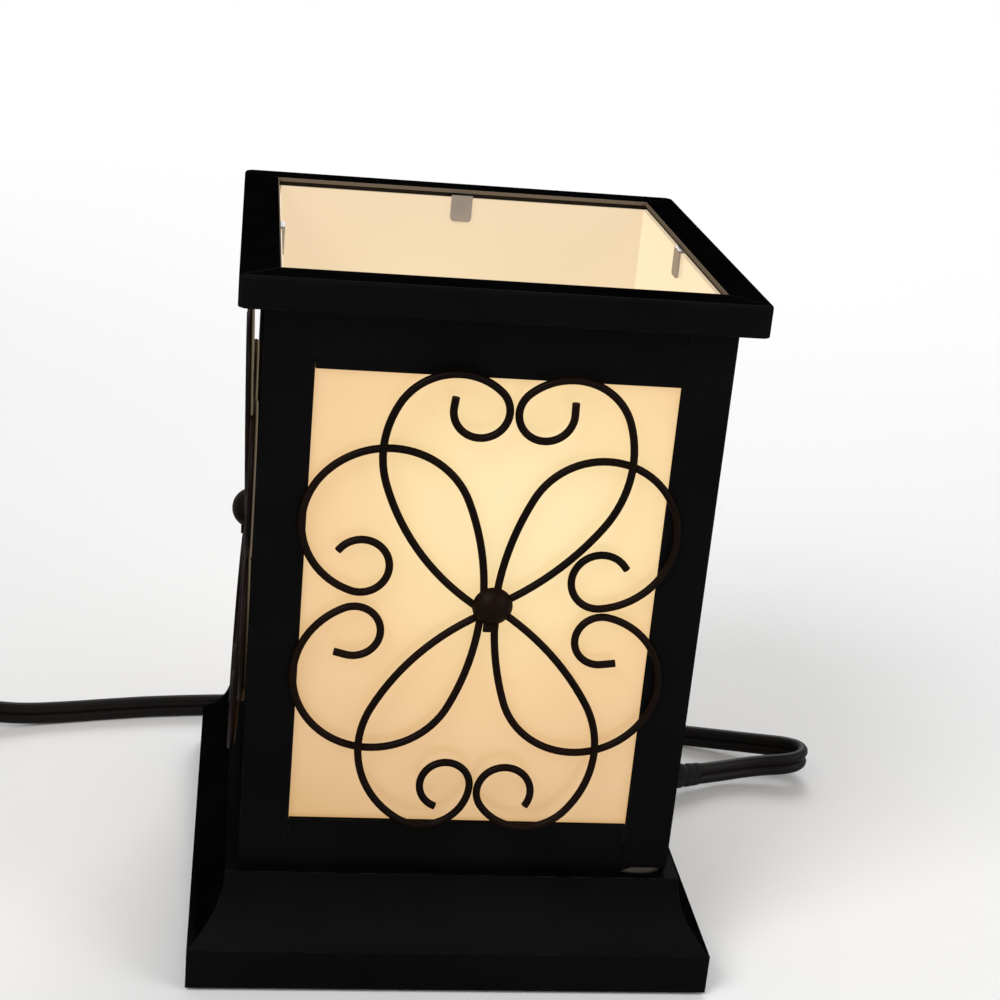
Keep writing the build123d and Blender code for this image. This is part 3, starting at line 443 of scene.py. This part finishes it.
def coated(name, dark, light, rough, grain=1.5, bump=0.02, wear=None, wear_amount=0.4, metallic=0.0, shine=0.35,
           dull_at=None):
    """A coated or moulded surface between two close colours, with a grain and rubbed edges.

    A wrinkled paint has no mirror at a grazing view: its shine fades out where Facing reaches dull_at.
    """
    material = bpy.data.materials.new(name)
    material.use_nodes = True
    tree = material.node_tree
    shader = tree.nodes["Principled BSDF"]
    fine = group_in(tree, skin, {"Grain per mm": grain, "Cloud per mm": 0.04})
    cloud = ramp(tree, fine.outputs["Cloud"], [(0.35, (0, 0, 0)), (0.65, (1, 1, 1))])
    colour = mixed(tree, cloud, dark, light)
    if wear:
        rubbed = group_in(tree, rub, {"Width mm": 0.5, "Amount": wear_amount})
        colour = mixed(tree, rubbed.outputs["Mask"], colour, wear)
    tree.links.new(colour, shader.inputs["Base Color"])
    low, high = rough
    spread = math_node(tree, "MULTIPLY", fine.outputs["Cloud"], high - low)
    tree.links.new(math_node(tree, "ADD", spread, low), shader.inputs["Roughness"])
    relief = tree.nodes.new("ShaderNodeBump")
    relief.inputs["Strength"].default_value = 1.0
    relief.inputs["Distance"].default_value = bump * MM
    tree.links.new(fine.outputs["Grain"], relief.inputs["Height"])
    tree.links.new(relief.outputs["Normal"], shader.inputs["Normal"])
    shader.inputs["Metallic"].default_value = metallic
    shader.inputs["Specular IOR Level"].default_value = shine
    if dull_at:
        facing = tree.nodes.new("ShaderNodeLayerWeight").outputs["Facing"]
        fade = math_node(tree, "SUBTRACT", 1.0, math_node(tree, "DIVIDE", facing, dull_at), clamp=True)
        tree.links.new(math_node(tree, "MULTIPLY", fade, shine), shader.inputs["Specular IOR Level"])
    return material


finishes = {
    "black_paint": coated(
        "satin_black", (0.0009, 0.0009, 0.001), (0.0022, 0.002, 0.0019), (0.42, 0.54), grain=1.1, bump=0.03,
        wear=(0.04, 0.036, 0.032), wear_amount=0.35, shine=0.042, dull_at=0.62,
    ),
    "bronze_paint": coated(
        "dark_bronze", (0.003, 0.0013, 0.0007), (0.0075, 0.0031, 0.0016), (0.36, 0.5), grain=2.0, bump=0.02,
        wear=(0.045, 0.023, 0.011), wear_amount=0.4, metallic=0.2, shine=0.06, dull_at=0.75,
    ),
    "white_paint": coated("white_enamel", (0.62, 0.6, 0.56), (0.7, 0.68, 0.64), (0.35, 0.45), bump=0.02),
    "rubber": coated(
        "black_rubber", (0.008, 0.008, 0.008), (0.013, 0.0125, 0.012), (0.75, 0.9), grain=3.0, shine=0.15
    ),
    "cardboard": coated("fibre_card", (0.3, 0.24, 0.15), (0.4, 0.32, 0.21), (0.85, 0.95), grain=2.5, bump=0.06),
    "phenolic": coated("phenolic", (0.02, 0.015, 0.012), (0.034, 0.025, 0.02), (0.4, 0.5)),
    "cord_jacket": coated(
        "cord_vinyl", (0.0045, 0.0036, 0.0032), (0.0085, 0.0068, 0.0058), (0.4, 0.55), grain=1.0, bump=0.02,
        shine=0.11,
    ),
    "wire_jacket": coated("wire_vinyl", (0.02, 0.018, 0.017), (0.03, 0.027, 0.025), (0.4, 0.5)),
    "tie_plastic": coated("tie_plastic", (0.015, 0.015, 0.015), (0.022, 0.022, 0.022), (0.35, 0.45), grain=2.0),
    "dark_plastic": coated(
        "moulded_brown", (0.018, 0.012, 0.009), (0.026, 0.018, 0.014), (0.4, 0.5), grain=2.6, bump=0.025,
        wear=(0.1, 0.075, 0.06), wear_amount=0.2,
    ),
    "wheel_plastic": coated("wheel_plastic", (0.03, 0.022, 0.017), (0.045, 0.034, 0.028), (0.4, 0.5), grain=2.6),
}
print("finishes:", sorted(finishes))

# %% [markdown]
# ## The lamp's own light on its metal
# In the photo the lit glass shows on the metal next to it: a pale line on the edge of the cap's opening and
# on the rail inside it, a small warm patch under the foot of the front right post, and a thin line on the
# inner sides of the wires. The glass is too dim here to light them as much, so these marks are painted.

# %% Light on the black paint
tree = finishes["black_paint"].node_tree
shader = tree.nodes["Principled BSDF"]
rim_low, rim_inner = 0.1845, 0.0527
rail_low, rail_high, rail_inner = 0.182, 0.1842, 0.05475
at = group_in(tree, places, {})
height, widest = at.outputs["Height"], at.outputs["Widest"]
rim_edge = all_of(tree, (height, "GREATER_THAN", rim_low), (widest, "LESS_THAN", rim_inner))
rail_inside = all_of(
    tree, (height, "GREATER_THAN", rail_low), (height, "LESS_THAN", rail_high), (widest, "LESS_THAN", rail_inner)
)
painted = shader.inputs["Base Color"].links[0].from_socket
lit_rail = mixed(tree, rail_inside, painted, (0.07, 0.055, 0.04))
tree.links.new(mixed(tree, rim_edge, lit_rail, (0.14, 0.11, 0.08)), shader.inputs["Base Color"])
spot_place = add(tree, "ShaderNodeMapping", vector_type="TEXTURE")
spot_place.inputs["Location"].default_value = (0.0482, -0.0535, 0.0301)
spot_place.inputs["Scale"].default_value = (0.0068, 0.0032, 0.0009)
spot_from = add(tree, "ShaderNodeTexCoord")
tree.links.new(spot_from.outputs["Object"], spot_place.inputs["Vector"])
spot = add(tree, "ShaderNodeTexGradient", gradient_type="SPHERICAL")
tree.links.new(spot_place.outputs["Vector"], spot.inputs["Vector"])
spot_light = ramp(tree, spot.outputs["Fac"], [(0.0, (0, 0, 0)), (0.35, (0.042, 0.036, 0.03))])
tree.links.new(spot_light, shader.inputs["Emission Color"])
shader.inputs["Emission Strength"].default_value = 1.0
print("light on the paint: rim, rail and spot")

# %% Light on the bronze
tree = finishes["bronze_paint"].node_tree
shader = tree.nodes["Principled BSDF"]
point = add(tree, "ShaderNodeSeparateXYZ")
tree.links.new(add(tree, "ShaderNodeTexCoord").outputs["Object"], point.inputs[0])
normal = add(tree, "ShaderNodeSeparateXYZ")
tree.links.new(add(tree, "ShaderNodeNewGeometry").outputs["Normal"], normal.inputs[0])


def inwards_along(axis):
    """How far the surface faces the middle of the lamp along one axis, from -1 to 1."""
    opposite = math_node(tree, "MULTIPLY", point.outputs[axis], -1.0)
    return math_node(tree, "MULTIPLY", normal.outputs[axis], math_node(tree, "SIGN", opposite))


inwards_x, inwards_y = inwards_along("X"), inwards_along("Y")
size_x, size_y = (math_node(tree, "ABSOLUTE", point.outputs[axis]) for axis in "XY")
on_x_side = math_node(tree, "GREATER_THAN", size_x, size_y)
choice = math_node(tree, "MULTIPLY", on_x_side, math_node(tree, "SUBTRACT", inwards_x, inwards_y))
inwards = math_node(tree, "ADD", inwards_y, choice)
towards_glass = ramp(tree, inwards, [(0.35, (0, 0, 0)), (0.75, (1, 1, 1))])
dark_below, fade_height = 0.065, 0.04
above = math_node(tree, "SUBTRACT", point.outputs["Z"], dark_below)
glass_light = ramp(tree, math_node(tree, "DIVIDE", above, fade_height, clamp=True), [
    (0.0, (0.004, 0.003, 0.002)), (0.33, (0.013, 0.01, 0.007)), (0.5, (0.024, 0.019, 0.012)),
    (0.68, (0.05, 0.04, 0.026)), (1.0, (0.14, 0.112, 0.073)),
])
tree.links.new(mixed(tree, towards_glass, (0.0, 0.0, 0.0), glass_light), shader.inputs["Emission Color"])
shader.inputs["Emission Strength"].default_value = 1.0
print("light on the bronze from", dark_below, "up")

# %% [markdown]
# ## Bare metal
# The clips and screws are bright steel, the lampholder is brass and the bulb's cap is aluminium. Bare metal
# gets its life from fine scratches in one direction and a dull bloom, so the roughness does most of the work.

# %% Recipe for bare metal
scratches_per_metre, scratch_depth = 400.0, 0.006 * MM


def bare_metal(name, colour, tint, rough, stretch=(1, 1, 14)):
    material = bpy.data.materials.new(name)
    material.use_nodes = True
    tree = material.node_tree
    shader = tree.nodes["Principled BSDF"]
    shader.inputs["Metallic"].default_value = 1.0
    place = tree.nodes.new("ShaderNodeTexCoord")
    squeeze = tree.nodes.new("ShaderNodeMapping")
    squeeze.inputs["Scale"].default_value = stretch
    tree.links.new(place.outputs["Object"], squeeze.inputs["Vector"])
    lines = tree.nodes.new("ShaderNodeTexNoise")
    lines.inputs["Scale"].default_value = scratches_per_metre
    lines.inputs["Detail"].default_value = 5.0
    tree.links.new(squeeze.outputs["Vector"], lines.inputs["Vector"])
    fine = group_in(tree, skin, {"Grain per mm": 2.0, "Cloud per mm": 0.15})
    tree.links.new(mixed(tree, fine.outputs["Cloud"], colour, tint), shader.inputs["Base Color"])
    low, high = rough
    spread = math_node(tree, "MULTIPLY", lines.outputs["Fac"], high - low)
    tree.links.new(math_node(tree, "ADD", spread, low), shader.inputs["Roughness"])
    relief = tree.nodes.new("ShaderNodeBump")
    relief.inputs["Strength"].default_value = 1.0
    relief.inputs["Distance"].default_value = scratch_depth
    tree.links.new(lines.outputs["Fac"], relief.inputs["Height"])
    tree.links.new(relief.outputs["Normal"], shader.inputs["Normal"])
    return material


finishes["steel"] = bare_metal("dull_steel", (0.27, 0.26, 0.27), (0.4, 0.38, 0.39), (0.3, 0.5))
finishes["brass"] = bare_metal("socket_brass", (0.52, 0.37, 0.16), (0.68, 0.5, 0.24), (0.25, 0.5))
finishes["aluminium"] = bare_metal(
    "cap_aluminium", (0.6, 0.6, 0.6), (0.72, 0.72, 0.72), (0.25, 0.45), stretch=(1, 1, 1)
)
print("bare metals: steel, brass, aluminium")

# %% [markdown]
# ## The lit glass
# Opal glass scatters the bulb's light through its whole thickness, so each pane glows: cream where it is
# near the bulb, peach towards the corners. This glow is painted light: an emission that ramps over the
# distance from one point, not light that passes through the glass. That point lies a little to the right of
# the bulb, because the front pane of the photo is brightest there. The pane keeps a dull body colour and a
# smooth surface, so that it also answers the light in the room.

# %% Painted glow that falls off with distance
glow_centre = Vector((0.01, 0.0, 0.13))
glow, glow_in, glow_out = new_group(
    "glow_by_distance", {"Near mm": (FLOAT, 54.0), "Far mm": (FLOAT, 112.0)}, {"Distance": FLOAT}
)
glow_place = add(glow, "ShaderNodeTexCoord", -900, -300)
glow_from = add(glow, "ShaderNodeVectorMath", -700, -300, operation="DISTANCE")
glow_from.inputs[1].default_value = glow_centre
glow.links.new(glow_place.outputs["Object"], glow_from.inputs[0])
near = math_node(glow, "MULTIPLY", glow_in.outputs["Near mm"], MM)
far = math_node(glow, "MULTIPLY", glow_in.outputs["Far mm"], MM)
past_near = math_node(glow, "SUBTRACT", glow_from.outputs["Value"], near)
share = math_node(glow, "DIVIDE", past_near, math_node(glow, "SUBTRACT", far, near), clamp=True)
glow.links.new(share, glow_out.inputs["Distance"])
print("group:", glow.name)

# %% The opal glass
window_low, window_high, window_half = 0.0428, 0.1638, 0.0446
pane_face, glow_wobble, glass_relief = 0.0532, 0.1, 0.003 * MM
opal = bpy.data.materials.new("opal_glass")
opal.use_nodes = True
tree = opal.node_tree
shader = tree.nodes["Principled BSDF"]
falloff = group_in(tree, glow, {})
fine = group_in(tree, skin, {"Grain per mm": 0.35, "Cloud per mm": 0.03})
wobble = math_node(tree, "MULTIPLY", math_node(tree, "SUBTRACT", fine.outputs["Cloud"], 0.5), glow_wobble)
reach = math_node(tree, "ADD", falloff.outputs["Distance"], wobble, clamp=True)
glow_stops = [
    (0.0, (0.817, 0.629, 0.327)), (0.15, (0.762, 0.543, 0.259)), (0.3, (0.708, 0.457, 0.21)),
    (0.5, (0.647, 0.402, 0.184)), (0.75, (0.577, 0.358, 0.164)), (1.0, (0.498, 0.289, 0.106)),
]
glow_colour = ramp(tree, reach, glow_stops)
# The body colour follows the same distance, a little paler and yellower near the bulb, as part of the painted
# glow.
body_colour = ramp(tree, reach, [(0.0, (0.22, 0.19, 0.13)), (1.0, (0.2, 0.15, 0.1))])
at = group_in(tree, places, {})
height = at.outputs["Height"]
window = all_of(
    tree, (at.outputs["Narrowest"], "LESS_THAN", window_half), (height, "GREATER_THAN", window_low),
    (height, "LESS_THAN", window_high),
)
outer = math_node(tree, "GREATER_THAN", at.outputs["Widest"], pane_face)
behind_frame = math_node(tree, "MULTIPLY", outer, math_node(tree, "SUBTRACT", 1.0, window))
# Painted glow: the outer face inside the window glows by its distance from that point, the inner face glows an
# even warm colour, and the outer face behind the frame does not glow.
lit = mixed(tree, outer, (0.65, 0.52, 0.35), glow_colour)
tree.links.new(body_colour, shader.inputs["Base Color"])
tree.links.new(mixed(tree, behind_frame, lit, (0.0, 0.0, 0.0)), shader.inputs["Emission Color"])
shader.inputs["Emission Strength"].default_value = 1.0
shader.inputs["Roughness"].default_value = 0.18
relief = tree.nodes.new("ShaderNodeBump")
relief.inputs["Strength"].default_value = 1.0
relief.inputs["Distance"].default_value = glass_relief
tree.links.new(fine.outputs["Grain"], relief.inputs["Height"])
tree.links.new(relief.outputs["Normal"], shader.inputs["Normal"])
finishes["opal_glass"] = opal
print("glow stops:", len(glow_stops))

# %% The bulb's glass
frosted = bpy.data.materials.new("frosted_bulb")
frosted.use_nodes = True
tree = frosted.node_tree
shader = tree.nodes["Principled BSDF"]
fine = group_in(tree, skin, {"Grain per mm": 3.0, "Cloud per mm": 0.05})
tree.links.new(
    mixed(tree, fine.outputs["Cloud"], (0.36, 0.34, 0.3), (0.4, 0.38, 0.34)), shader.inputs["Base Color"]
)
towards_rim = tree.nodes.new("ShaderNodeLayerWeight").outputs["Facing"]
hot = ramp(tree, towards_rim, [(0.0, (0.86, 0.77, 0.55)), (0.45, (0.8, 0.66, 0.4)), (1.0, (0.7, 0.48, 0.22))])
tree.links.new(hot, shader.inputs["Emission Color"])
shader.inputs["Emission Strength"].default_value = 1.0
shader.inputs["Roughness"].default_value = 0.4
shader.inputs["Specular IOR Level"].default_value = 0.2
finishes["bulb_glass"] = frosted
finishes["bulb_black"] = coated("bulb_insulator", (0.01, 0.01, 0.01), (0.016, 0.016, 0.016), (0.12, 0.2))
print("bulb:", frosted.name)

# %% Put the finishes on
def dress(piece, finish):
    piece.data.materials.clear()
    piece.data.materials.append(finish)


slot_of = {s["node"]: s["material_slot"] for s in frame["record"]["subparts"]}
for node, piece in shown.items():
    dress(piece, finishes[slot_of[node]])
dress(cord, finishes["cord_jacket"])
dress(sleeve, finishes["rubber"])
print("dressed:", len(shown) + 2)

# %% [markdown]
# ## The studio
# A plain pale floor that runs up into a backdrop, one large soft light from the upper left, a weaker one
# from the right, and a strip from behind for the edges.

# %% Floor and backdrop
half_width, floor_front, bend_start, bend_radius, bend_steps, wall_top = 6.0, -4.0, 2.0, 1.2, 12, 4.0
white_from, white_to = 0.35, 1.1


def studio_surface(name, rows, material):
    bm = bmesh.new()
    grid = bmesh.ops.create_grid(bm, x_segments=1, y_segments=len(rows) - 1, size=1.0)["verts"]
    levels = sorted({round(v.co.y, 4) for v in grid})
    for vertex in grid:
        y, z = rows[levels.index(round(vertex.co.y, 4))]
        vertex.co = (vertex.co.x * half_width, y, z)
    piece = new_object(name, bm)
    dress(piece, material)
    return piece


def seen_directly(tree):
    """1 for what the camera sees itself, in a mirror or through glass, and 0 for what only lights."""
    rays = tree.nodes.new("ShaderNodeLightPath").outputs
    mirrored = math_node(tree, "ADD", rays["Is Glossy Ray"], rays["Is Transmission Ray"])
    return math_node(tree, "ADD", mirrored, rays["Is Camera Ray"], clamp=True)


pale = bpy.data.materials.new("pale_backdrop")
pale.use_nodes = True
tree = pale.node_tree
shader = tree.nodes["Principled BSDF"]
shader.inputs["Base Color"].default_value = (0.86, 0.86, 0.86, 1)
shader.inputs["Roughness"].default_value = 0.7
shader.inputs["Specular IOR Level"].default_value = 0.2
place = tree.nodes.new("ShaderNodeTexCoord")
away = add(tree, "ShaderNodeVectorMath", operation="LENGTH")
tree.links.new(place.outputs["Object"], away.inputs[0])
white = add(tree, "ShaderNodeMapRange", interpolation_type="SMOOTHSTEP")
white.inputs["From Min"].default_value = white_from
white.inputs["From Max"].default_value = white_to
tree.links.new(away.outputs["Value"], white.inputs["Value"])
seen = math_node(tree, "MULTIPLY", white.outputs[0], seen_directly(tree))
bright = tree.nodes.new("ShaderNodeEmission")
both = tree.nodes.new("ShaderNodeMixShader")
tree.links.new(seen, both.inputs[0])
tree.links.new(shader.outputs[0], both.inputs[1])
tree.links.new(bright.outputs[0], both.inputs[2])
tree.links.new(both.outputs[0], tree.nodes["Material Output"].inputs["Surface"])
rows = [(floor_front, 0.0), (bend_start, 0.0)]
for i in range(1, bend_steps + 1):
    angle = math.pi / 2 * i / bend_steps
    rows.append((bend_start + bend_radius * math.sin(angle), bend_radius - bend_radius * math.cos(angle)))
rows.append((bend_start + bend_radius, wall_top))
floor = studio_surface("floor", rows, pale)
print("floor rows:", len(rows), "in", floor.name)

# %% Lights
def soft_light(name, place, aim, size, power, colour=(1, 1, 1)):
    data = bpy.data.lights.new(name, "AREA")
    data.shape = "DISK"
    data.size = size
    data.energy = power
    data.color = colour
    light = bpy.data.objects.new(name, data)
    light.location = place
    light.rotation_euler = (Vector(aim) - Vector(place)).to_track_quat("-Z", "Y").to_euler()
    bpy.context.scene.collection.objects.link(light)
    return light


soft_light("key", (-0.9, -0.9, 1.3), (0, 0, 0.09), 0.9, 16)
soft_light("fill", (1.2, -0.8, 0.7), (0, 0, 0.09), 1.0, 7)
soft_light("rim", (0.3, 1.2, 1.0), (0, 0, 0.1), 0.8, 9)
world = bpy.data.worlds.new("studio")
bpy.context.scene.world = world
world.use_nodes = True
sky = world.node_tree.nodes["Background"]
sky.inputs["Color"].default_value = (1, 1, 1, 1)
sky_light = 0.41
shown_share = math_node(world.node_tree, "MULTIPLY", seen_directly(world.node_tree), 1.0 - sky_light)
world.node_tree.links.new(math_node(world.node_tree, "ADD", shown_share, sky_light), sky.inputs["Strength"])

# %% View transform
bpy.context.scene.view_settings.view_transform = "Standard"
